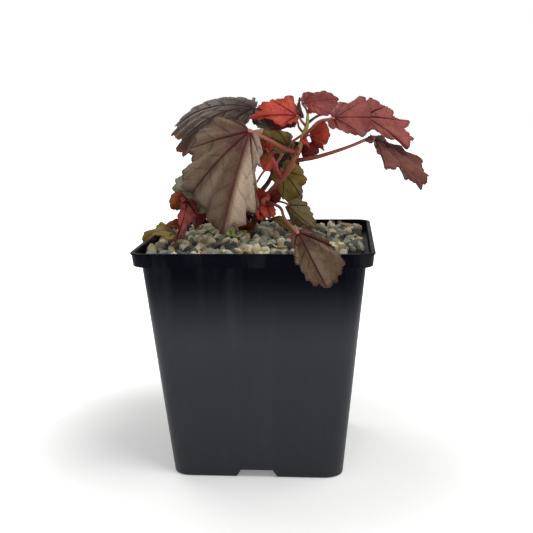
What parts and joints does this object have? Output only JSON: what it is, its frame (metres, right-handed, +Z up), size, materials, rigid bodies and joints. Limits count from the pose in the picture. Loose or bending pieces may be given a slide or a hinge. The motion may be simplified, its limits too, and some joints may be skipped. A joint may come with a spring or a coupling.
{
  "type": "potted hibiscus",
  "caption": "Young red-leaved hibiscus plant, not in bloom, in a square black nursery pot topped with mixed grit.",
  "frame": {"origin": "centre of the pot's flat underside", "axes": "+Z up, along the plant's height; -Y towards the front; +X to the viewer's right as seen from the front"},
  "size_m": [0.1285, 0.1226, 0.1715],
  "materials": {
    "pot_plastic": "satin black moulded plastic",
    "grit": "matt loose grit and small pebbles",
    "bark": "smooth young red-brown bark",
    "red_shoot": "soft glossy red young growth",
    "dark_bark": "smooth dark maroon bark",
    "stalk": "thin maroon leaf stalk",
    "green_shoot": "soft green young shoot",
    "cut_wood": "dry tan cut stub",
    "bronze_leaf": "bronze leaf with maroon veins",
    "purple_leaf": "dark purple-brown leaf with a grey sheen",
    "scarlet_leaf": "thin scarlet leaf that lets light through",
    "dark_red_leaf": "dark red young leaf",
    "rose_leaf": "dusty rose leaf",
    "olive_leaf": "dark olive leaf",
    "orange_leaf": "orange-brown crumpled young leaf",
    "tan_leaf": "olive-tan leaf",
    "cream_leaf": "pale grey-green leaf"
  },
  "bodies": {
    "root": {"pot": "pot_plastic", "growing_mix": "grit", "main_stem": "bark", "stem_knot": "red_shoot", "leading_stem": "bark", "branch_behind": "dark_bark", "red_side_shoot": "red_shoot", "left_side_shoot": "stalk", "foot_shoot": "green_shoot", "cut_stub": "cut_wood", "stalk_front_large": "stalk", "stalk_upper_left": "stalk", "stalk_scarlet": "stalk", "stalk_scarlet_under": "stalk", "stalk_top_rose": "stalk", "stalk_right_rose_inner": "stalk", "stalk_right_rose_outer": "stalk", "stalk_behind_stem": "stalk", "stalk_olive_upper": "stalk", "stalk_right_drooping": "stalk", "stalk_tip_orange": "stalk", "stalk_over_rim": "stalk", "stalk_olive_lower": "stalk", "stalk_green_low": "stalk", "stalk_pale_left": "stalk", "stalk_left_rim": "stalk", "stalk_back_left": "stalk", "stalk_back_right": "stalk", "stalk_back_middle": "stalk", "stalk_back_low": "stalk", "leaf_front_large": "bronze_leaf", "leaf_upper_left": "purple_leaf", "leaf_scarlet": "scarlet_leaf", "leaf_scarlet_under": "dark_red_leaf", "leaf_top_rose": "rose_leaf", "leaf_right_rose_inner": "rose_leaf", "leaf_right_rose_outer": "rose_leaf", "leaf_behind_stem": "olive_leaf", "leaf_olive_upper": "olive_leaf", "leaf_right_drooping": "bronze_leaf", "leaf_tip_orange": "orange_leaf", "leaf_crimson_small": "dark_red_leaf", "leaf_over_rim": "bronze_leaf", "leaf_olive_lower": "tan_leaf", "leaf_green_low": "olive_leaf", "leaf_pale_left": "cream_leaf", "leaf_left_rim": "orange_leaf", "leaf_crumpled_orange": "orange_leaf", "leaf_crumpled_pink": "rose_leaf", "leaf_crumpled_dark": "dark_red_leaf", "leaf_crumpled_brown": "orange_leaf", "leaf_sprout_orange": "orange_leaf", "leaf_sprout_violet": "purple_leaf", "leaf_back_left": "bronze_leaf", "leaf_back_right": "rose_leaf", "leaf_back_middle": "purple_leaf", "leaf_back_low": "olive_leaf"}
  },
  "joints": []
}
